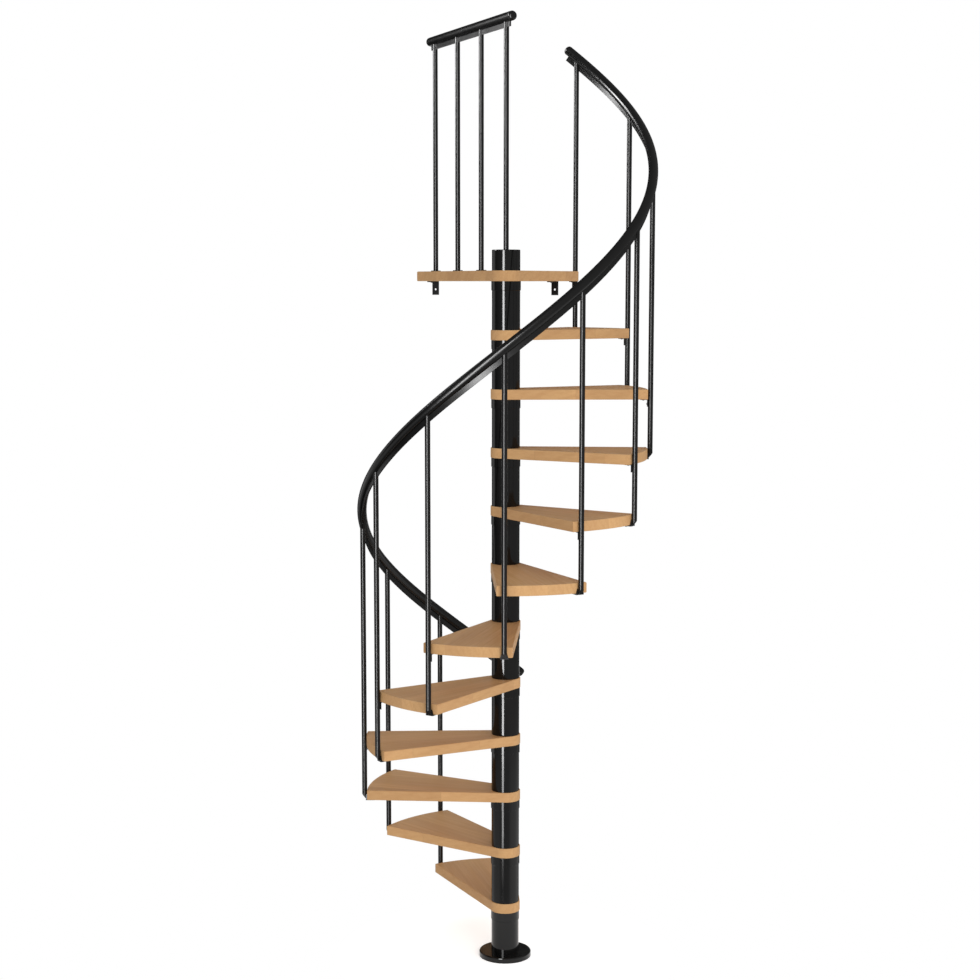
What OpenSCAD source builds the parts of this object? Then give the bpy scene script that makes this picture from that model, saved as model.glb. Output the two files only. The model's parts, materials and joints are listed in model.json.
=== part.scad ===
// Spiral staircase: wedge treads threaded on a sleeved centre pole, round balusters outside the treads,
// a helical handrail on a flat steel bar, and a landing with its own straight guard rail.
// Millimetres, +Z up. The origin is on the column axis at floor level. The flight climbs counter-clockwise.

/* [Flight] */
// Height of one rise, from tread top to tread top
rise = 235; // [215:1:245]
// Number of treads below the landing
tread_count = 11; // [9:1:12]
// Turn from one tread to the next, in degrees
turn = 30; // [27:0.5:32]
// Direction of the first baluster, counted from +X, in degrees
first_angle = 90; // [0:5:355]

/* [Treads] */
// Radius of the treads' outer edge
tread_r = 567; // [500:1:760]
// Thickness of a tread
tread_t = 40; // [30:1:50]
// Diameter of the round end that grips the column
hub_d = 122; // [119:1:150]
// Step from a board's straight edge out to its round end
hub_step = 0.5; // [0.3:0.1:2]
// Overhang of the nosing ahead of its baluster, in degrees
front_over = 3.0; // [2:0.1:4]
// Overhang of the rear edge behind the next baluster, in degrees
rear_over = 3.3; // [2.5:0.1:5]
// Bevel that eases the straight edges of the boards
edge_ease = 2.5; // [2:0.25:4]
// Bevel that eases the round ends of the boards, always smaller than that of the straight edges
round_ease = 1.75; // [1:0.25:1.75]

/* [Landing] */
// Thickness of the landing board
landing_t = 42; // [30:1:50]
// Overhang of the landing's nosing ahead of its baluster, in degrees
landing_over = 2.2; // [2:0.1:4]
// Turn from the top baluster to the guarded edge, in degrees
guard_turn = 54; // [45:1:70]
// Length of the guarded edge, measured from the column axis
guard_edge = 836; // [830:1:950]

/* [Column] */
// Outside diameter of the column sleeves
column_d = 113; // [90:1:116]
// Wall of a column sleeve
sleeve_wall = 4; // [2:0.5:8]
// Outside diameter of the steel pole inside the sleeves
pole_d = 60; // [40:1:76]
// Wall of the pole
pole_wall = 4; // [2:0.5:8]
// Height of a collar under a tread
collar_h = 37; // [20:1:60]
// Wall of a collar
collar_wall = 2.2; // [1.5:0.1:4]
// Bevel at the lower edge of a collar
collar_bevel = 1.5; // [0.5:0.1:2]
// Height of the column above the landing, cap included
column_over = 82; // [60:1:140]
// Height of the column's cap
cap_h = 12; // [8:1:30]
// Rounding of the cap's upper edge
cap_round = 3; // [1:0.5:7]

/* [Foot] */
// Diameter of the floor plate
plate_d = 190; // [170:1:230]
// Thickness of the floor plate
plate_t = 8; // [5:1:15]
// Diameter of the circle of anchor holes
anchor_circle = 154; // [145:1:160]
// Diameter of an anchor hole
anchor_d = 11; // [8:0.5:14]
// Number of anchor holes
anchor_count = 4; // [3:1:8]
// Gap between the floor plate and the cover's wall
cover_room = 9; // [3:1:15]
// Wall of the cover
cover_wall = 3; // [2:0.5:6]
// Height of the cover over the floor plate
cover_h = 22; // [18:1:40]
// Rounding of the cover's upper edge
cover_round = 5; // [2:0.5:8]

/* [Balusters] */
// Diameter of a baluster tube
baluster_d = 21; // [16:1:26]
// Gap between a tread's edge and the balusters
edge_gap = 1; // [0.5:0.5:5]
// Height of the pressed taper at a baluster's lower end
press_h = 19; // [12:1:30]
// Width of the pressed tongue under a tread
tongue_w = 32; // [22:1:40]
// Thickness of the pressed tongue
tongue_t = 5; // [3:0.5:8]
// Reach of the tongue under a tread
tongue_l = 46; // [35:1:70]
// Diameter of the screw hole in the tongue
tongue_hole = 6; // [4:0.5:8]
// Diameter of the rosette round a baluster's foot
rosette_d = 43; // [34:1:60]
// Thickness of a rosette
rosette_t = 4; // [2:0.5:8]

/* [Brackets] */
// Leg of the angle bracket under a nosing
bracket_leg = 30; // [22:1:40]
// Width of the angle bracket
bracket_w = 16; // [12:1:24]
// Thickness of the angle bracket
bracket_t = 3; // [2:0.5:5]
// Width of a wall bracket
wall_w = 30; // [25:1:50]
// Height of a wall bracket below the landing
wall_h = 59; // [45:1:90]
// Reach of a wall bracket under the landing
wall_reach = 60; // [40:1:90]
// Thickness of a wall bracket
wall_t = 4; // [3:0.5:8]
// Diameter of the wall screw hole
wall_hole = 9; // [6:0.5:12]
// Depth of the wall screw hole below the landing
wall_hole_drop = 35; // [20:1:40]
// Distance of the right wall bracket from the nosing's corner
wall_inset_right = 105; // [70:1:200]
// Distance of the left wall bracket from the guarded edge's corner
wall_inset_left = 89; // [70:1:200]

/* [Handrails] */
// Diameter of the round handrail
rail_d = 38; // [32:1:50]
// Height of the handrail's middle over a nosing
rail_h = 886; // [800:1:1000]
// Turn of the handrail past the first baluster, in degrees
low_over = 6; // [2:0.5:10]
// Turn of the handrail past the top baluster, in degrees
high_over = 3.7; // [2:0.1:10]
// Length of a handrail's domed end
dome_l = 14; // [8:1:15]
// Thickness of the flat bar under a handrail
bar_t = 5; // [3:0.5:8]
// Height of the flat bar that shows under a handrail
bar_drop = 19; // [10:1:30]
// Depth of the groove that takes the bar
groove = 8; // [4:0.5:10]
// Distance from a handrail's tip back to the end of its flat bar
bar_short = 28; // [16:1:40]

/* [Landing guard] */
// Height of the guard rail's middle over the landing
guard_h = 981; // [900:1:1150]
// Distance between the guard's posts
guard_pitch = 255; // [240:1:260]
// Number of guard posts, the one on the column included
guard_posts = 4; // [3:1:4]
// Reach of the guard rail past its end posts
guard_over = 68; // [50:1:70]

/* [Fit] */
// Clearance between pieces that slide or seat together
fit_gap = 0.3; // [0.1:0.05:0.5]

/* [Hidden] */
$fn = 64;
wood = [0.82, 0.65, 0.46];
black = [0.05, 0.05, 0.05];
// Reach of a cut past the faces it opens
cut = 1;

baluster_r = tread_r + edge_gap + baluster_d / 2;
landing_top = (tread_count + 1) * rise;
landing_angle = first_angle + tread_count * turn;
guard_angle = landing_angle + guard_turn;
column_top = landing_top + column_over;
collar_in_d = column_d + 2 * fit_gap;
cover_d = plate_d + 2 * (cover_room + cover_wall);
pole_bore = pole_d + 2 * fit_gap;
hub_line = hub_d / 2 - hub_step;
board_reach = 2 * guard_edge;

rail_r = rail_d / 2;
groove_w = bar_t + 2 * fit_gap;
helix_rise = rise / turn;
helix_slope = atan(helix_rise / (baluster_r * PI / 180));
rail_from = first_angle - low_over;
rail_to = landing_angle + high_over;
bar_turn = (bar_short - dome_l) * cos(helix_slope) / (baluster_r * PI / 180);
// Turn between two cross-sections of the helical pieces, in degrees
ring_turn = 3;
// Corners of the handrail's round outline
rail_corners = 20;
guard_z = landing_top + guard_h;
guard_len = (guard_posts - 1) * guard_pitch;

function two_digits(n) = str(n < 10 ? "0" : "", n);
function tread_name(k) = str("tread_", two_digits(k));
function baluster_name(k) = str("baluster_", two_digits(k));
function post_name(i) = str("guard_post_", i);

function polar(r, a) = [r * cos(a), r * sin(a)];
function angle_of(k) = first_angle + (k - 1) * turn;
function underside(k) = k * rise - (k > tread_count ? landing_t : tread_t);

// Direction of the foot of the column axis on a straight edge that ends at radius r and angle a
function foot_angle(r, a, side) = a + side * acos(hub_line / r);

// Half section of a board: its eased edge at x = reach, its inner end at x = 0
module eased_section(reach, t, ease) {
    polygon([
        [0, 0],
        [reach - ease, 0],
        [reach, ease],
        [reach, t - ease],
        [reach - ease, t],
        [0, t]
    ]);
}

module eased_disc(r, t) {
    rotate_extrude($fn = 180)
        eased_section(r, t, round_ease);
}

// Slab of a board on the near side of a straight edge: the edge is square to angle a, at the given distance
module edge_slab(a, distance, t) {
    rotate(a)
        translate([distance - board_reach, 0, 0])
            rotate([90, 0, 0])
                linear_extrude(2 * board_reach, center = true)
                    eased_section(board_reach, t, edge_ease);
}

// Slab of a board beyond a line that is square to angle a, at the given distance
module square_slab(a, distance, t) {
    rotate(a)
        translate([distance, -board_reach, 0])
            cube([board_reach, 2 * board_reach, t]);
}

module hub_end(t) {
    difference() {
        union() {
            eased_disc(hub_d / 2, t);
            children();
        }
        translate([0, 0, -cut])
            cylinder(d = pole_bore, h = t + 2 * cut);
    }
}

// Tread board, nosing baluster along +X
module tread_board() {
    front_foot = foot_angle(tread_r, -front_over, -1);
    rear_foot = foot_angle(tread_r, turn + rear_over, 1);
    middle = (front_foot + rear_foot) / 2;
    hub_end(tread_t)
        intersection() {
            eased_disc(tread_r, tread_t);
            edge_slab(front_foot, hub_line, tread_t);
            edge_slab(rear_foot, hub_line, tread_t);
            square_slab(middle, hub_line * cos(rear_foot - middle), tread_t);
        }
}

module tread(k) {
    color(wood)
        rotate(angle_of(k))
            translate([0, 0, underside(k)])
                tread_board();
}

// Landing corners in the landing's own turn: the nosing at the top baluster, and the end of the guarded edge
landing_nose = polar(tread_r, -landing_over);
landing_far = polar(guard_edge, guard_turn) + polar(hub_line, guard_turn + 90);
landing_rear = landing_far - landing_nose;
landing_rear_l = norm(landing_rear);
landing_rear_angle = atan2(landing_rear[1], landing_rear[0]);

module landing_board() {
    nose_foot = foot_angle(tread_r, -landing_over, -1);
    guard_foot = guard_turn + 90;
    middle = (nose_foot + guard_foot) / 2;
    inward = landing_rear_angle + 90;
    hub_end(landing_t)
        intersection() {
            edge_slab(nose_foot, hub_line, landing_t);
            edge_slab(guard_foot, hub_line, landing_t);
            square_slab(inward, landing_nose * polar(1, inward), landing_t);
            square_slab(middle, hub_line * cos(guard_foot - middle), landing_t);
        }
}

module landing() {
    color(wood)
        rotate(landing_angle)
            translate([0, 0, underside(tread_count + 1)])
                landing_board();
}

// Angle plate under the landing's rear edge, its upright leg flush with that edge
module wall_bracket(along) {
    color(black)
        rotate(landing_angle)
            translate([landing_nose[0], landing_nose[1], underside(tread_count + 1)])
                rotate(landing_rear_angle)
                    translate([along - wall_w / 2, 0, 0])
                        difference() {
                            union() {
                                translate([0, 0, -wall_t])
                                    cube([wall_w, wall_reach, wall_t]);
                                translate([0, 0, -wall_h])
                                    cube([wall_w, wall_t, wall_h]);
                            }
                            translate([wall_w / 2, -cut, -wall_hole_drop])
                                rotate([-90, 0, 0])
                                    cylinder(d = wall_hole, h = wall_t + 2 * cut);
                        }
}

module wall_bracket_right() {
    wall_bracket(wall_inset_right);
}

module wall_bracket_left() {
    wall_bracket(landing_rear_l - wall_inset_left);
}

// Foot and column

module base_plate() {
    color(black)
        difference() {
            cylinder(d = plate_d, h = plate_t);
            for (i = [0 : anchor_count - 1])
                rotate((i + 0.5) * 360 / anchor_count)
                    translate([anchor_circle / 2, 0, -cut])
                        cylinder(d = anchor_d, h = plate_t + 2 * cut);
        }
}

// Half section of a disc with a rounded upper edge
module round_disc_section(r, h, edge) {
    square([r - edge, h]);
    square([r, h - edge]);
    translate([r - edge, h - edge])
        circle(r = edge);
}

module base_cover() {
    color(black)
        rotate_extrude()
            difference() {
                round_disc_section(cover_d / 2, cover_h, cover_round);
                translate([-cut, -cut])
                    square([cover_d / 2 - cover_wall + cut, cover_h - cover_wall + cut]);
                translate([-cut, -cut])
                    square([collar_in_d / 2 + cut, cover_h + 2 * cut]);
            }
}

module tube(d, wall, h) {
    difference() {
        cylinder(d = d, h = h);
        translate([0, 0, -cut])
            cylinder(d = d - 2 * wall, h = h + 2 * cut);
    }
}

module centre_pole() {
    color(black)
        translate([0, 0, plate_t])
            tube(pole_d, pole_wall, column_top - cap_h - plate_t);
}

module column_sleeves() {
    color(black)
        for (k = [1 : tread_count + 2]) {
            from = k == 1 ? plate_t : (k - 1) * rise;
            to = k > tread_count + 1 ? column_top - cap_h : underside(k);
            translate([0, 0, from])
                tube(column_d, sleeve_wall, to - from);
        }
}

module collar() {
    outer = collar_in_d / 2 + collar_wall;
    rotate_extrude()
        polygon([
            [collar_in_d / 2, 0],
            [outer - collar_bevel, 0],
            [outer, collar_bevel],
            [outer, collar_h],
            [collar_in_d / 2, collar_h]
        ]);
}

module tread_collars() {
    color(black)
        for (k = [1 : tread_count + 1])
            translate([0, 0, underside(k) - collar_h])
                collar();
}

module column_cap() {
    color(black)
        translate([0, 0, column_top - cap_h])
            rotate_extrude()
                intersection() {
                    round_disc_section(column_d / 2, cap_h, cap_round);
                    square([column_d, cap_h]);
                }
}

// Balusters

// Space that a handrail of the given slope takes out of a post's top, the bar's slot included
module rail_space(slope) {
    rotate([slope - 90, 0, 0]) {
        cylinder(r = rail_r + fit_gap, h = 4 * baluster_d, center = true);
        translate([-groove_w / 2, 0, -2 * baluster_d])
            cube([groove_w, rail_r + bar_drop + fit_gap, 4 * baluster_d]);
    }
}

// Pressed lower end: the tube is cut away to a flat tongue that lies under the tread behind it
module tongue() {
    inner = -baluster_d / 2;
    rotate([90, 0, 90])
        translate([0, 0, inner])
            linear_extrude(tongue_t)
                polygon([
                    [-tongue_w / 2, -tongue_t],
                    [tongue_w / 2, -tongue_t],
                    [tongue_w / 2, 0],
                    [baluster_d / 2, press_h],
                    [-baluster_d / 2, press_h],
                    [-tongue_w / 2, 0]
                ]);
    translate([inner + tongue_t - tongue_l, 0, -tongue_t])
        difference() {
            union() {
                translate([tongue_w / 2, -tongue_w / 2, 0])
                    cube([tongue_l - tongue_w / 2, tongue_w, tongue_t]);
                translate([tongue_w / 2, 0, 0])
                    cylinder(d = tongue_w, h = tongue_t);
            }
            translate([tongue_w / 2, 0, -cut])
                cylinder(d = tongue_hole, h = tongue_t + 2 * cut);
        }
}

module pressed_tube(h) {
    bevel_run = baluster_d - tongue_t;
    difference() {
        cylinder(d = baluster_d, h = h);
        rotate([90, 0, 0])
            linear_extrude(2 * baluster_d, center = true)
                polygon([
                    [baluster_d / 2 - bevel_run, 0],
                    [baluster_d / 2, press_h],
                    [baluster_d, press_h],
                    [baluster_d, -cut],
                    [baluster_d / 2 - bevel_run, -cut]
                ]);
    }
    tongue();
}

module baluster(k) {
    on_floor = k == 1;
    foot = on_floor ? 0 : underside(k - 1);
    middle = k * rise + rail_h;
    color(black)
        rotate(angle_of(k))
            translate([baluster_r, 0, 0])
                difference() {
                    translate([0, 0, foot])
                        if (on_floor)
                            cylinder(d = baluster_d, h = middle - foot);
                        else
                            pressed_tube(middle - foot);
                    translate([0, 0, middle])
                        rail_space(helix_slope);
                }
}

module rosette() {
    bevel = rosette_t / 2;
    rotate_extrude()
        polygon([
            [baluster_d / 2 + fit_gap, 0],
            [rosette_d / 2, 0],
            [rosette_d / 2, rosette_t - bevel],
            [rosette_d / 2 - bevel, rosette_t],
            [baluster_d / 2 + fit_gap, rosette_t]
        ]);
}

module floor_rosette() {
    color(black)
        rotate(first_angle)
            translate([baluster_r, 0, 0])
                rosette();
}

// Angle bracket between a tread's underside and the baluster at its nosing
module tread_bracket() {
    outer = -baluster_d / 2 - fit_gap;
    translate([outer - bracket_leg, -bracket_w / 2, -bracket_t])
        cube([bracket_leg, bracket_w, bracket_t]);
    translate([outer - bracket_t, -bracket_w / 2, -bracket_leg])
        cube([bracket_t, bracket_w, bracket_leg]);
}

module tread_brackets() {
    color(black)
        for (k = [1 : tread_count + 1])
            rotate(angle_of(k))
                translate([baluster_r, 0, underside(k)])
                    tread_bracket();
}

// Helical handrail

function helix_z(a) = rise + rail_h + (a - first_angle) * helix_rise;

// Cross-section point [outward, upward] carried to angle a of the helix, square to its slope
function on_helix(a, point) = [
    (baluster_r + point[0]) * cos(a) + point[1] * sin(helix_slope) * sin(a),
    (baluster_r + point[0]) * sin(a) - point[1] * sin(helix_slope) * cos(a),
    helix_z(a) + point[1] * cos(helix_slope)
];

// Outline of the handrail with its groove below, counter-clockwise
function rail_outline() = let (half = asin(groove_w / rail_d)) concat(
    [for (i = [0 : rail_corners]) polar(rail_r, -90 + half + i * (360 - 2 * half) / rail_corners)],
    [[-groove_w / 2, groove - rail_r], [groove_w / 2, groove - rail_r]]
);

function bar_outline() = let (top = groove - rail_r - fit_gap, low = -rail_r - bar_drop) [
    [-bar_t / 2, low], [bar_t / 2, low], [bar_t / 2, top], [-bar_t / 2, top]
];

module helix_sweep(outline, from, to) {
    rings = ceil((to - from) / ring_turn);
    n = len(outline);
    points = [
        for (j = [0 : rings]) let (a = from + j * (to - from) / rings)
            for (point = outline) on_helix(a, point)
    ];
    sides = [
        for (j = [0 : rings - 1])
            for (i = [0 : n - 1])
                let (a = j * n + i, b = j * n + (i + 1) % n)
                    each [[a, b, b + n], [a, b + n, a + n]]
    ];
    low_end = [[for (i = [n - 1 : -1 : 0]) i]];
    high_end = [[for (i = [0 : n - 1]) rings * n + i]];
    polyhedron(points, concat(low_end, sides, high_end), convexity = 10);
}

module handrail() {
    color(black)
        helix_sweep(rail_outline(), rail_from, rail_to);
}

module handrail_bar() {
    color(black)
        helix_sweep(bar_outline(), rail_from + bar_turn, rail_to - bar_turn);
}

// Domed rail end along +Z
module dome() {
    rotate_extrude()
        intersection() {
            union() {
                square([rail_r - dome_l, dome_l]);
                translate([rail_r - dome_l, 0])
                    circle(r = dome_l);
            }
            square([rail_r, dome_l]);
        }
}

module at_helix(a) {
    rotate(a)
        translate([baluster_r, 0, helix_z(a)])
            children();
}

module handrail_cap_upper() {
    color(black)
        at_helix(rail_to)
            rotate([helix_slope - 90, 0, 0])
                dome();
}

module handrail_cap_lower() {
    color(black)
        at_helix(rail_from)
            rotate([helix_slope + 90, 0, 0])
                dome();
}

// Landing guard, in a frame with the column axis at its origin and the rail along +X

module on_guard() {
    rotate(guard_angle)
        children();
}

module guard_post(i) {
    foot = i == 1 ? column_top : landing_top;
    color(black)
        on_guard()
            translate([(i - 1) * guard_pitch, 0, 0])
                difference() {
                    translate([0, 0, foot])
                        cylinder(d = baluster_d, h = guard_z - foot);
                    translate([0, 0, guard_z])
                        rotate(-90)
                            rail_space(0);
                }
}

module guard_rosettes() {
    color(black)
        on_guard()
            for (i = [2 : guard_posts])
                translate([(i - 1) * guard_pitch, 0, landing_top])
                    rosette();
}

module guard_rail() {
    from = dome_l - guard_over;
    length = guard_len + 2 * (guard_over - dome_l);
    color(black)
        on_guard()
            translate([from, 0, guard_z])
                difference() {
                    rotate([0, 90, 0])
                        cylinder(d = rail_d, h = length);
                    translate([-cut, -groove_w / 2, -rail_r - cut])
                        cube([length + 2 * cut, groove_w, groove + cut]);
                }
}

module guard_rail_bar() {
    color(black)
        on_guard()
            translate([bar_short - guard_over, -bar_t / 2, guard_z - rail_r - bar_drop])
                cube([guard_len + 2 * (guard_over - bar_short), bar_t, bar_drop + groove - fit_gap]);
}

module guard_rail_caps() {
    color(black)
        on_guard()
            translate([guard_len / 2, 0, guard_z])
                for (side = [0, 1])
                    mirror([side, 0, 0])
                        translate([guard_len / 2 + guard_over - dome_l, 0, 0])
                            rotate([0, 90, 0])
                                dome();
}

base_plate();
base_cover();
centre_pole();
column_sleeves();
tread_collars();
column_cap();
for (k = [1 : tread_count])
    tread(k);
landing();
wall_bracket_left();
wall_bracket_right();
tread_brackets();
floor_rosette();
for (k = [1 : tread_count + 1])
    baluster(k);
handrail();
handrail_bar();
handrail_cap_lower();
handrail_cap_upper();
for (i = [1 : guard_posts])
    guard_post(i);
guard_rosettes();
guard_rail();
guard_rail_bar();
guard_rail_caps();
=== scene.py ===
import json
import math

import bmesh
import bpy
from mathutils import Matrix, Vector


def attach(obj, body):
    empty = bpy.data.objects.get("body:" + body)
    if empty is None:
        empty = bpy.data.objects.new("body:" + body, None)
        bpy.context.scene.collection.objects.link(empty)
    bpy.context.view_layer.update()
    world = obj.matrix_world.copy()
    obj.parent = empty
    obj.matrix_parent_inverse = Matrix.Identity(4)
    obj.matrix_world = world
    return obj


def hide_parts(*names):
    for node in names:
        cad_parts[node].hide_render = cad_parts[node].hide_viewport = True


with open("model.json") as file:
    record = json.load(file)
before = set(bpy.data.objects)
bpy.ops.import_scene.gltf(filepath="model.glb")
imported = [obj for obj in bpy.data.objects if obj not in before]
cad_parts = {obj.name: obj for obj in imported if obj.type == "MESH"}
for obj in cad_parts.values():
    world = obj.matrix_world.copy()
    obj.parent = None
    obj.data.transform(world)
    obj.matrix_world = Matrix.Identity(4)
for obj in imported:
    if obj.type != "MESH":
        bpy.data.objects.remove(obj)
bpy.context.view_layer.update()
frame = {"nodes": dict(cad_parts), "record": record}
nodes = frame["nodes"]
scene = bpy.context.scene
scene.view_settings.view_transform = "Standard"

# Sizes of the staircase, in metres and degrees
RISE = 0.235
TURN = 30.0
FIRST_ANGLE = 90.0
TREADS = 11
LANDING = TREADS + 1
TREAD_R = 0.567
TREAD_T = 0.040
LANDING_T = 0.042
LANDING_OVER = 2.2
GUARD_TURN = 54.0
GUARD_EDGE = 0.836
HUB_LINE = 0.0605
LANDING_ANGLE = FIRST_ANGLE + TREADS * TURN
BALUSTER_R = 0.5785
BALUSTER_D = 0.021
FIT_GAP = 0.0003
TONGUE_T = 0.005
TONGUE_HOLE_IN = 0.0355
BRACKET_LEG = 0.030
BRACKET_T = 0.003
WALL_T = 0.004
WALL_INSETS = (0.105, 0.089)

# Helical handrail and the flat bar in its groove
RAIL_R = 0.019
RAIL_H = 0.886
LOW_OVER = 6.0
HIGH_OVER = 3.7
DOME_L = 0.014
BAR_T = 0.005
BAR_DROP = 0.019
BAR_SHORT = 0.028
BAR_EASE = 0.0006
GROOVE = 0.008
GROOVE_W = BAR_T + 2 * FIT_GAP
HELIX_RISE = RISE / TURN
DEGREE_L = BALUSTER_R * math.pi / 180
HELIX_SLOPE = math.atan(HELIX_RISE / DEGREE_L)
RAIL_FROM = FIRST_ANGLE - LOW_OVER
RAIL_TO = LANDING_ANGLE + HIGH_OVER
BAR_TURN = (BAR_SHORT - DOME_L) * math.cos(HELIX_SLOPE) / DEGREE_L
RAIL_CORNERS = 56
SWEEP_STEP = 1.0
SHARP_ANGLE = 35.0

# Screws: radius, height and half the width of the socket, and where they sit
TONGUE_SCREW = (0.0062, 0.0034, 0.0020)
BRACKET_SCREW = (0.0040, 0.0024, 0.0013)
WALL_SCREW = (0.0050, 0.0026, 0.0016)
BRACKET_HOLE_IN = 0.6 * BRACKET_LEG
BRACKET_HOLE_DOWN = 0.62 * BRACKET_LEG
WALL_HOLES_IN = (0.022, 0.046)

# Outline of a screw head and the floor of its socket, as shares of the head's radius and height
HEAD_PROFILE = ((1.0, 0.0), (1.0, 0.35), (0.92, 0.68), (0.74, 0.9), (0.58, 1.0))
SOCKET_FLOOR = 0.35
HEAD_CORNERS = 24

# Camera, fitted to the photograph: millimetres, a share of the frame, metres and radians
SENSOR = 36.0
LENS = 68.076
SHIFT_Y = 0.0212
CLIP_END = 200.0
CAMERA_PLACE = (0.0625, -7.4218, 2.7754)
PITCH = 0.12292
YAW = -0.01696
ROLL = 0.00054

# Beech: glued strips, and noises as stretch along, across and through the board, detail and roughness
STRIP_W = 0.062
STRIP_JUMP = 3.0
STRIP_TONES = (0.955, 1.04)
SEED_SHIFT = (0.37, 0.21, 0.13)
SEED_STEP = 17.0
WANDER = ((1.4, 9.0, 9.0), 3.0, 0.5)
PORES = ((26.0, 900.0, 900.0), 2.0, 0.6)
STREAKS = ((3.0, 120.0, 120.0), 3.0, 0.6)
CLOUDS = ((2.0, 6.0, 6.0), 2.0, 0.5)
FLECKS = ((150.0, 420.0, 60.0), 1.0, 0.4)
RING_RATE = 210.0
RING_TILT = 0.6
RING_WANDER = 9.0
DARK_CLOUD = (205, 160, 112)
PALE_CLOUD = (213, 169, 118)
CLOUD_SPAN = (0.3, 0.7)

# Marks on the beech: where a mark starts and is full, its strength and its colour
STREAK_MARK = (0.35, 0.75, 0.40, (191, 143, 95))
RING_MARK = (0.55, 1.0, 0.15, (185, 137, 91))
PORE_MARK = (0.58, 0.72, 0.26, (156, 110, 70))
FLECK_MARK = (0.66, 0.76, 0.14, (178, 125, 82))
SEAM_MARK = (0.4925, 0.4975, 0.22, (168, 124, 86))
EASED_FROM = (0.35, 0.6)
EASED_TO = (0.8, 0.95)
EASED_WEAR = (0.3, 0.65, 0.15, 0.40)
EASED_TONE = (222, 184, 136)
BEECH_ROUGH = (0.2, 0.8, 0.42, 0.55)
BEECH_SPECULAR = 0.16
PORE_RELIEF = 0.6
STREAK_RELIEF = 0.4
BEECH_BUMP = 0.10
BEECH_DEPTH = 0.0005

# Black coats: noises as scale, detail and roughness, then marks as on the beech
COAT_CLOUD = (14.0, 3.0, 0.6)
COAT_PEEL = (70.0, 2.0, 0.4)
COAT_SPECK = (1100.0, 1.0, 0.5)
CLOUD_TINT = (5, 4, 3)
CLOUD_TINT_SPAN = (0.3, 0.7, 0.0, 0.5)
DUST_FACING = (0.6, 1.0)
DUST_SPAN = (0.4, 0.7, 0.0, 0.014)
DUST_TONE = (112, 108, 102)
SPECK_MARK = (0.72, 0.82, 0.04, (64, 64, 64))
GLOSS_CLOUD = (0.25, 0.75)
GLOSSIER = 0.02
DULLER = 0.03
COAT_SPECULAR = 0.30
PEEL_DEPTH = 0.0003

# Studio: background, the walls and ground that only gloss sees, the floor and the strip light
FILL = 0.715
WHITE = 1.0
WALLS_R = 14.0
WALLS_OPENING = 18.0
WALLS_LEVEL = 0.22
WALLS_SLOPE = (0.16, -0.25, 0.08)
WALLS_DARKEST = 0.015
GROUND_SIDES = (0.4, 0.85)
GROUND_SPAN = (-0.27, -0.14, 0.6, 0.0)
FLOOR_R = 0.70
FLOOR_TONE = (0.9, 0.9, 0.9, 1.0)
FLOOR_GLOW = (0.5 * FLOOR_R, FLOOR_R, 0.54, 0.62)
STRIP_LIGHT_AWAY = 5.0
STRIP_LIGHT_TURN = math.radians(-19.5)
STRIP_LIGHT_X = STRIP_LIGHT_AWAY * math.sin(STRIP_LIGHT_TURN)
STRIP_LIGHT_Y = -STRIP_LIGHT_AWAY * math.cos(STRIP_LIGHT_TURN)


def underside(k):
    """Height of the underside of tread k, or of the landing, which is counted after the treads."""
    return k * RISE - (LANDING_T if k == LANDING else TREAD_T)


def angle_of(k):
    return FIRST_ANGLE + (k - 1) * TURN


def polar(r, degrees, z=0.0):
    a = math.radians(degrees)
    return Vector((r * math.cos(a), r * math.sin(a), z))


def make_camera():
    """Camera at the photograph's viewing angle."""
    data = bpy.data.cameras.new("camera")
    data.sensor_width = SENSOR
    data.lens = LENS
    data.shift_y = SHIFT_Y
    data.clip_end = CLIP_END
    camera = bpy.data.objects.new("camera", data)
    scene.collection.objects.link(camera)
    turn = Matrix.Rotation(-YAW, 4, "Z") @ Matrix.Rotation(math.pi / 2 - PITCH, 4, "X")
    camera.matrix_world = Matrix.Translation(CAMERA_PLACE) @ turn @ Matrix.Rotation(ROLL, 4, "Z")
    scene.camera = camera


# Materials

def linear(r, g, b):
    """Linear colour of sRGB values from 0 to 255."""
    def one(c):
        c /= 255.0
        return c / 12.92 if c <= 0.04045 else ((c + 0.055) / 1.055) ** 2.4
    return (one(r), one(g), one(b), 1.0)


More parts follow.
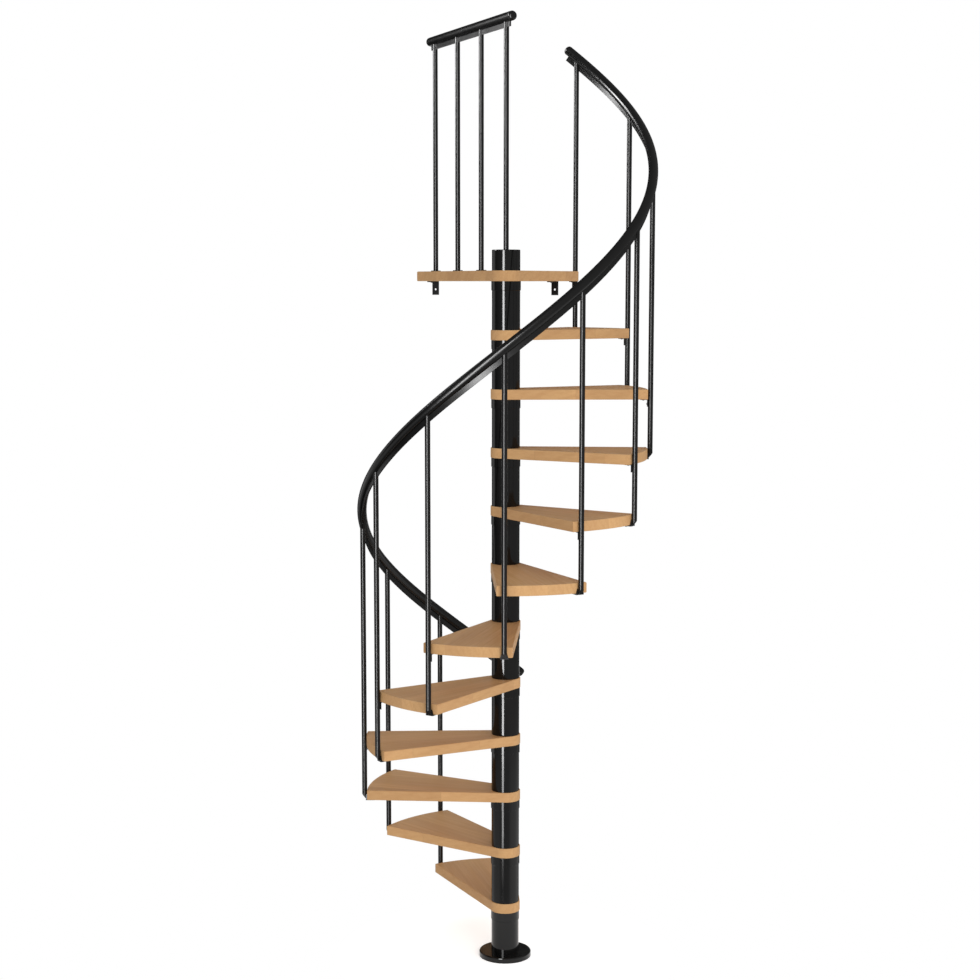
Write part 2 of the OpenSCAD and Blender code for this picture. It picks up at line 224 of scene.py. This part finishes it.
class Nodes:
    """Shorthand for building a material's shader tree."""

    def __init__(self, name):
        self.material = bpy.data.materials.new(name)
        self.material.use_nodes = True
        self.tree = self.material.node_tree
        self.tree.nodes.clear()
        self.out = self.tree.nodes.new("ShaderNodeOutputMaterial")

    def add(self, kind, **settings):
        node = self.tree.nodes.new(kind)
        for key, value in settings.items():
            setattr(node, key, value)
        return node

    def link(self, source, target):
        self.tree.links.new(source, target)

    def put(self, socket, value):
        if isinstance(value, bpy.types.NodeSocket):
            self.link(value, socket)
        else:
            socket.default_value = value

    def finish(self, shader):
        self.link(shader.outputs[0], self.out.inputs["Surface"])
        return self.material

    def position(self):
        return self.add("ShaderNodeTexCoord").outputs["Object"]

    def facing_up(self):
        return self.split(self.add("ShaderNodeNewGeometry").outputs["True Normal"])[2]

    def math(self, operation, a, b=0.0):
        node = self.add("ShaderNodeMath", operation=operation)
        self.put(node.inputs[0], a)
        self.put(node.inputs[1], b)
        return node.outputs[0]

    def span(self, value, low, high, to_low=0.0, to_high=1.0):
        node = self.add("ShaderNodeMapRange", interpolation_type="SMOOTHSTEP")
        self.link(value, node.inputs["Value"])
        node.inputs["From Min"].default_value = low
        node.inputs["From Max"].default_value = high
        node.inputs["To Min"].default_value = to_low
        node.inputs["To Max"].default_value = to_high
        return node.outputs["Result"]

    def noise(self, vector, scale, detail, rough):
        node = self.add("ShaderNodeTexNoise")
        self.link(vector, node.inputs["Vector"])
        node.inputs["Scale"].default_value = scale
        node.inputs["Detail"].default_value = detail
        node.inputs["Roughness"].default_value = rough
        return node.outputs["Fac"]

    def grain(self, vector, stretch, detail, rough):
        node = self.add("ShaderNodeMapping")
        self.link(vector, node.inputs["Vector"])
        node.inputs["Scale"].default_value = stretch
        return self.noise(node.outputs["Vector"], 1.0, detail, rough)

    def mix(self, factor, a, b):
        node = self.add("ShaderNodeMix", data_type="RGBA")
        self.put(node.inputs[0], factor)
        self.put(node.inputs[6], a)
        self.put(node.inputs[7], b)
        return node.outputs[2]

    def mark(self, tone, value, start, full, strength, colour):
        return self.mix(self.span(value, start, full, 0.0, strength), tone, linear(*colour))

    def split(self, vector):
        node = self.add("ShaderNodeSeparateXYZ")
        self.link(vector, node.inputs[0])
        return node.outputs

    def bump(self, height, strength, distance):
        node = self.add("ShaderNodeBump")
        self.link(height, node.inputs["Height"])
        node.inputs["Strength"].default_value = strength
        node.inputs["Distance"].default_value = distance
        return node.outputs["Normal"]


def wood_material(name, angle, seed):
    """Satin lacquered beech: glued strips along the board, soft growth rings, fine pores and flecks."""
    n = Nodes(name)
    board = n.add("ShaderNodeMapping")
    n.link(n.position(), board.inputs["Vector"])
    board.inputs["Location"].default_value = [seed * part for part in SEED_SHIFT]
    board.inputs["Rotation"].default_value = (0.0, 0.0, -math.radians(angle))
    across = n.split(board.outputs["Vector"])[1]
    strip = n.math("DIVIDE", across, STRIP_W)

    # Each glued strip takes its grain from another place and has its own tone
    chance = n.add("ShaderNodeTexWhiteNoise", noise_dimensions="1D")
    n.link(n.math("ADD", n.math("FLOOR", strip), seed * SEED_STEP), chance.inputs["W"])
    jump = n.add("ShaderNodeVectorMath", operation="SCALE")
    n.link(chance.outputs["Color"], jump.inputs[0])
    jump.inputs["Scale"].default_value = STRIP_JUMP
    moved = n.add("ShaderNodeVectorMath", operation="ADD")
    n.link(board.outputs["Vector"], moved.inputs[0])
    n.link(jump.outputs[0], moved.inputs[1])
    space = moved.outputs[0]

    wander = n.grain(space, *WANDER)
    pores = n.grain(space, *PORES)
    streaks = n.grain(space, *STREAKS)
    clouds = n.grain(space, *CLOUDS)
    flecks = n.grain(space, *FLECKS)
    parts = n.split(space)
    ring_height = n.math("ADD", parts[1], n.math("MULTIPLY", parts[2], RING_TILT))
    ring_turn = n.math("MULTIPLY", ring_height, RING_RATE)
    ring_phase = n.math("ADD", ring_turn, n.math("MULTIPLY", wander, RING_WANDER))
    rings = n.math("ADD", n.math("MULTIPLY", n.math("SINE", ring_phase), 0.5), 0.5)

    tone = n.mix(n.span(clouds, *CLOUD_SPAN), linear(*DARK_CLOUD), linear(*PALE_CLOUD))
    tone = n.mark(tone, streaks, *STREAK_MARK)
    tone = n.mark(tone, rings, *RING_MARK)
    tone = n.mark(tone, pores, *PORE_MARK)
    tone = n.mark(tone, flecks, *FLECK_MARK)

    # The eased edges, which lean between upright and flat, are a little paler
    lean = n.math("ABSOLUTE", n.facing_up())
    eased = n.math("MULTIPLY", n.span(lean, *EASED_FROM), n.span(lean, *EASED_TO, 1.0, 0.0))
    tone = n.mix(n.math("MULTIPLY", eased, n.span(clouds, *EASED_WEAR)), tone, linear(*EASED_TONE))
    own_tone = n.add("ShaderNodeHueSaturation")
    n.link(n.span(chance.outputs["Value"], 0.0, 1.0, *STRIP_TONES), own_tone.inputs["Value"])
    n.link(tone, own_tone.inputs["Color"])
    seam = n.math("ABSOLUTE", n.math("SUBTRACT", n.math("FRACT", strip), 0.5))
    jointed = n.mark(own_tone.outputs["Color"], seam, *SEAM_MARK)

    shader = n.add("ShaderNodeBsdfPrincipled")
    n.link(jointed, shader.inputs["Base Color"])
    n.link(n.span(streaks, *BEECH_ROUGH), shader.inputs["Roughness"])
    shader.inputs["Specular IOR Level"].default_value = BEECH_SPECULAR
    pore_relief = n.math("MULTIPLY", pores, PORE_RELIEF)
    relief = n.math("ADD", pore_relief, n.math("MULTIPLY", streaks, STREAK_RELIEF))
    n.link(n.bump(relief, BEECH_BUMP, BEECH_DEPTH), shader.inputs["Normal"])
    return n.finish(shader)


def coat_material(name, tint, rough, peel):
    """Glossy black coating: slight orange peel, uneven gloss and a trace of dust on what faces up."""
    n = Nodes(name)
    position = n.position()
    cloud = n.noise(position, *COAT_CLOUD)
    peel_height = n.noise(position, *COAT_PEEL)
    speck = n.noise(position, *COAT_SPECK)
    paler = [tint + more for more in CLOUD_TINT]
    tone = n.mix(n.span(cloud, *CLOUD_TINT_SPAN), linear(tint, tint, tint), linear(*paler))
    dust = n.math("MULTIPLY", n.span(n.facing_up(), *DUST_FACING), n.span(cloud, *DUST_SPAN))
    tone = n.mix(dust, tone, linear(*DUST_TONE))
    tone = n.mark(tone, speck, *SPECK_MARK)
    shader = n.add("ShaderNodeBsdfPrincipled")
    n.link(tone, shader.inputs["Base Color"])
    gloss = n.span(cloud, *GLOSS_CLOUD, rough - GLOSSIER, rough + DULLER)
    n.link(gloss, shader.inputs["Roughness"])
    shader.inputs["Specular IOR Level"].default_value = COAT_SPECULAR
    n.link(n.bump(peel_height, peel, PEEL_DEPTH), shader.inputs["Normal"])
    return n.finish(shader)


# Meshes

def mesh_piece(name, verts, faces, material):
    """Smooth piece with sharp edges, which rides on the only body."""
    mesh = bpy.data.meshes.new(name)
    mesh.from_pydata(verts, [], faces)
    mesh.validate()
    work = bmesh.new()
    work.from_mesh(mesh)
    bmesh.ops.recalc_face_normals(work, faces=work.faces)
    work.to_mesh(mesh)
    work.free()
    mesh.polygons.foreach_set("use_smooth", [True] * len(mesh.polygons))
    mesh.set_sharp_from_angle(angle=math.radians(SHARP_ANGLE))
    mesh.materials.append(material)
    piece = bpy.data.objects.new(name, mesh)
    scene.collection.objects.link(piece)
    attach(piece, "root")
    return piece


def tube_faces(rings, count):
    """Four-sided faces between rings of count points, one ring after the other."""
    faces = []
    for j in range(rings):
        for i in range(count):
            a = j * count + i
            b = j * count + (i + 1) % count
            faces.append((a, b, b + count, a + count))
    return faces


def on_helix(a, out, up):
    """Point of the handrail's section at angle a, with the section square to the slope."""
    c = math.cos(math.radians(a))
    s = math.sin(math.radians(a))
    lean = up * math.sin(HELIX_SLOPE)
    z = RISE + RAIL_H + (a - FIRST_ANGLE) * HELIX_RISE
    r = BALUSTER_R + out
    return (r * c + lean * s, r * s - lean * c, z + up * math.cos(HELIX_SLOPE))


def helix_sweep(name, outline, start, end, material):
    rings = math.ceil((end - start) / SWEEP_STEP)
    count = len(outline)
    verts = []
    for j in range(rings + 1):
        a = start + j * (end - start) / rings
        verts += [on_helix(a, out, up) for out, up in outline]
    ends = [list(range(count))[::-1], [rings * count + i for i in range(count)]]
    return mesh_piece(name, verts, ends + tube_faces(rings, count), material)


def rail_outline():
    half = math.asin(GROOVE_W / 2 / RAIL_R)
    points = []
    for i in range(RAIL_CORNERS + 1):
        a = -math.pi / 2 + half + i * (2 * math.pi - 2 * half) / RAIL_CORNERS
        points.append((RAIL_R * math.cos(a), RAIL_R * math.sin(a)))
    points += [(-GROOVE_W / 2, GROOVE - RAIL_R), (GROOVE_W / 2, GROOVE - RAIL_R)]
    return points


def bar_outline():
    low = -RAIL_R - BAR_DROP
    top = GROOVE - RAIL_R - FIT_GAP
    half = BAR_T / 2
    left = [(-half, low + BAR_EASE), (-half + BAR_EASE, low)]
    right = [(half - BAR_EASE, low), (half, low + BAR_EASE)]
    return left + right + [(half, top), (-half, top)]


def screw_head(place, axis, radius, height, socket):
    """Domed screw head with a six-sided socket, standing on place and pointing along axis."""
    turn = Vector(axis).to_track_quat("Z", "Y").to_matrix()
    count = HEAD_CORNERS
    angles = [2 * math.pi * i / count for i in range(count)]
    verts = []
    for width, z in HEAD_PROFILE:
        r = width * radius
        verts += [Vector((r * math.cos(a), r * math.sin(a), z * height)) for a in angles]
    for z in (height, SOCKET_FLOOR * height):
        for a in angles:
            local = (a + math.pi / 6) % (math.pi / 3) - math.pi / 6
            r = socket / math.cos(local)
            verts.append(Vector((r * math.cos(a), r * math.sin(a), z)))
    rings = len(HEAD_PROFILE) + 1
    faces = tube_faces(rings, count)
    faces.append(tuple(range(rings * count, rings * count + count)))
    faces.append(tuple(range(count))[::-1])
    return [tuple(turn @ v + Vector(place)) for v in verts], faces


def screws(name, heads, material):
    verts = []
    faces = []
    for place, axis, size in heads:
        more_verts, more_faces = screw_head(place, axis, *size)
        faces += [tuple(i + len(verts) for i in face) for face in more_faces]
        verts += more_verts
    mesh_piece(name, verts, faces, material)


make_camera()

# Each board has its own beech, with the grain along the middle of the board
beech = {}
for k in range(1, LANDING + 1):
    middle = angle_of(k) + (GUARD_TURN / 2 if k == LANDING else TURN / 2)
    beech[k] = wood_material("beech_%02d" % k, middle, k)
steel = coat_material("black_steel", tint=10, rough=0.29, peel=0.03)
column = coat_material("black_column", tint=13, rough=0.10, peel=0.012)
plastic = coat_material("black_plastic", tint=10, rough=0.25, peel=0.03)

slots = {"black_steel": steel, "black_column": column, "black_plastic": plastic}
for part in frame["record"]["subparts"]:
    name = part["node"]
    materials = nodes[name].data.materials
    materials.clear()
    if name.startswith("tread_") and name[-2:].isdigit():
        materials.append(beech[int(name[-2:])])
    elif name == "landing":
        materials.append(beech[LANDING])
    else:
        materials.append(slots[part["material_slot"]])

# Smooth handrail and bar in the place of the faceted sweeps
rail = helix_sweep("handrail_smooth", rail_outline(), RAIL_FROM, RAIL_TO, plastic)
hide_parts("handrail")
bar = helix_sweep("handrail_bar_smooth", bar_outline(), RAIL_FROM + BAR_TURN, RAIL_TO - BAR_TURN, steel)
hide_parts("handrail_bar")

# Screws that hold the tongues, the angle brackets and the wall brackets to the boards
down = (0.0, 0.0, -1.0)
tongue_heads = []
for k in range(2, LANDING + 1):
    place = polar(BALUSTER_R - TONGUE_HOLE_IN, angle_of(k), underside(k - 1) - TONGUE_T)
    tongue_heads.append((place, down, TONGUE_SCREW))
bracket_heads = []
for k in range(1, LANDING + 1):
    leg = BALUSTER_R - BALUSTER_D / 2 - FIT_GAP
    place = polar(leg - BRACKET_HOLE_IN, angle_of(k), underside(k) - BRACKET_T)
    bracket_heads.append((place, down, BRACKET_SCREW))
    place = polar(leg - BRACKET_T, angle_of(k), underside(k) - BRACKET_HOLE_DOWN)
    bracket_heads.append((place, -polar(1.0, angle_of(k)), BRACKET_SCREW))
nose = polar(TREAD_R, LANDING_ANGLE - LANDING_OVER)
guard_angle = LANDING_ANGLE + GUARD_TURN
far = polar(GUARD_EDGE, guard_angle) + polar(HUB_LINE, guard_angle + 90)
rear = (far - nose).normalized()
inward = Vector((-rear.y, rear.x, 0.0))
wall_heads = []
for start, way, inset in ((nose, rear, WALL_INSETS[0]), (far, -rear, WALL_INSETS[1])):
    for reach in WALL_HOLES_IN:
        place = start + way * inset + inward * reach
        place.z = underside(LANDING) - WALL_T
        wall_heads.append((place, down, WALL_SCREW))
screws("tongue_screws", tongue_heads, steel)
screws("bracket_screws", bracket_heads, steel)
screws("wall_bracket_screws", wall_heads, steel)


# Studio: white background, pale floor, a soft box in front, and lamps for the highlights on the black

def sees_white(tree):
    """1 for camera, glossy and transmission rays, which see the white background, and 0 for others."""
    path = tree.nodes.new("ShaderNodeLightPath").outputs
    seen = path["Is Camera Ray"]
    for ray in ("Is Glossy Ray", "Is Transmission Ray"):
        either = tree.nodes.new("ShaderNodeMath")
        either.operation = "MAXIMUM"
        tree.links.new(seen, either.inputs[0])
        tree.links.new(path[ray], either.inputs[1])
        seen = either.outputs[0]
    return seen


def make_world():
    """White where it is seen, and a soft fill light for the rest."""
    world = bpy.data.worlds.new("studio")
    scene.world = world
    world.use_nodes = True
    tree = world.node_tree
    tree.nodes.clear()
    out = tree.nodes.new("ShaderNodeOutputWorld")
    both = tree.nodes.new("ShaderNodeMixShader")
    tree.links.new(sees_white(tree), both.inputs[0])
    for socket, strength in ((both.inputs[1], FILL), (both.inputs[2], WHITE)):
        background = tree.nodes.new("ShaderNodeBackground")
        background.inputs["Color"].default_value = (1.0, 1.0, 1.0, 1.0)
        background.inputs["Strength"].default_value = strength
        tree.links.new(background.outputs[0], socket)
    tree.links.new(both.outputs[0], out.inputs["Surface"])


def stage_piece(name, work, material):
    """Object of the studio, which isn't part of the staircase."""
    mesh = bpy.data.meshes.new(name)
    work.to_mesh(mesh)
    work.free()
    mesh.materials.append(material)
    piece = bpy.data.objects.new(name, mesh)
    scene.collection.objects.link(piece)
    return piece


def make_walls():
    """Studio walls that only gloss sees, palest in front, to the right and above, and open behind.

    At both sides they turn into a pale ground.
    """
    n = Nodes("studio_walls")
    toward = n.add("ShaderNodeVectorMath", operation="NORMALIZE")
    n.link(n.position(), toward.inputs[0])
    slope = n.add("ShaderNodeVectorMath", operation="DOT_PRODUCT")
    n.link(toward.outputs[0], slope.inputs[0])
    slope.inputs[1].default_value = WALLS_SLOPE
    level = n.math("MAXIMUM", n.math("ADD", slope.outputs["Value"], WALLS_LEVEL), WALLS_DARKEST)
    parts = n.split(toward.outputs[0])
    sides = n.span(n.math("ABSOLUTE", parts[0]), *GROUND_SIDES)
    ground = n.math("MULTIPLY", sides, n.span(parts[2], *GROUND_SPAN))
    glow = n.add("ShaderNodeEmission")
    n.link(n.math("ADD", level, ground), glow.inputs["Strength"])
    n.material.cycles.emission_sampling = "NONE"

    work = bmesh.new()
    bmesh.ops.create_uvsphere(work, u_segments=64, v_segments=32, radius=WALLS_R)
    opening = math.cos(math.radians(WALLS_OPENING))
    behind = [face for face in work.faces if face.calc_center_median().normalized().y > opening]
    bmesh.ops.delete(work, geom=behind, context="FACES")
    walls = stage_piece("studio_walls", work, n.finish(glow))
    walls.visible_camera = False
    walls.visible_diffuse = False
    walls.visible_transmission = False
    walls.visible_shadow = False


def make_floor():
    """Pale round floor that keeps the shadow and is as white as the background at its rim."""
    n = Nodes("floor")
    diffuse = n.add("ShaderNodeBsdfDiffuse")
    diffuse.inputs["Color"].default_value = FLOOR_TONE
    distance = n.add("ShaderNodeVectorMath", operation="LENGTH")
    n.link(n.position(), distance.inputs[0])
    strength = n.span(distance.outputs["Value"], *FLOOR_GLOW)
    glow = n.add("ShaderNodeEmission")
    n.link(n.math("MULTIPLY", sees_white(n.tree), strength), glow.inputs["Strength"])
    both = n.add("ShaderNodeAddShader")
    n.link(diffuse.outputs[0], both.inputs[0])
    n.link(glow.outputs[0], both.inputs[1])

    work = bmesh.new()
    bmesh.ops.create_circle(work, cap_ends=True, segments=96, radius=FLOOR_R)
    stage_piece("floor", work, n.finish(both))


def boards_left_out():
    """Collection that keeps the lamps for the black gloss off the boards."""
    left_out = bpy.data.collections.new("boards_left_out")
    for name in nodes:
        if nodes[name].data.materials[0] in beech.values():
            left_out.objects.link(nodes[name])
    for item in left_out.collection_objects:
        item.light_linking.link_state = "EXCLUDE"
    return left_out


def make_light(name, place, aim, size, watts, spread=180.0):
    """Area light that the camera doesn't see, with its size as width and height."""
    data = bpy.data.lights.new(name, "AREA")
    data.spread = math.radians(spread)
    data.shape = "RECTANGLE"
    data.size = size[0]
    data.size_y = size[1]
    data.energy = watts
    light = bpy.data.objects.new(name, data)
    scene.collection.objects.link(light)
    away = Vector(place) - Vector(aim)
    turn = away.to_track_quat("Z", "Y").to_matrix().to_4x4()
    light.matrix_world = Matrix.Translation(place) @ turn
    light.visible_camera = False
    return light


make_world()
make_walls()
make_floor()
gloss_only = boards_left_out()
front = make_light("front_box", place=(1.9, -4.7, 1.8), aim=(0.0, 0.0, 1.6), size=(2.6, 2.2), watts=100.0)
front.visible_glossy = False
gloss_lamps = [
    make_light("strip", place=(STRIP_LIGHT_X, STRIP_LIGHT_Y, 2.325), aim=(0.0, 0.0, 2.325),
               size=(1.25, 5.65), watts=615.0),
    make_light("strip_foot", place=(STRIP_LIGHT_X, STRIP_LIGHT_Y, -0.8), aim=(0.0, 0.0, -0.8),
               size=(1.25, 0.6), watts=29.0),
    make_light("left_wall", place=(-5.4, 2.6, 2.5), aim=(0.0, 0.0, 2.5), size=(3.4, 7.0), watts=52.0),
    make_light("rail_panel", place=(-3.33, 0.74, 4.77), aim=(0.50, 0.34, 3.73), size=(1.4, 1.9),
               watts=19.0, spread=32.0),
    make_light("guard_card", place=(-2.06, 1.41, 4.15), aim=(0.0, 0.0, 3.78), size=(0.6, 0.6), watts=3.4),
]
for lamp in gloss_lamps:
    lamp.visible_diffuse = False
    lamp.light_linking.receiver_collection = gloss_only
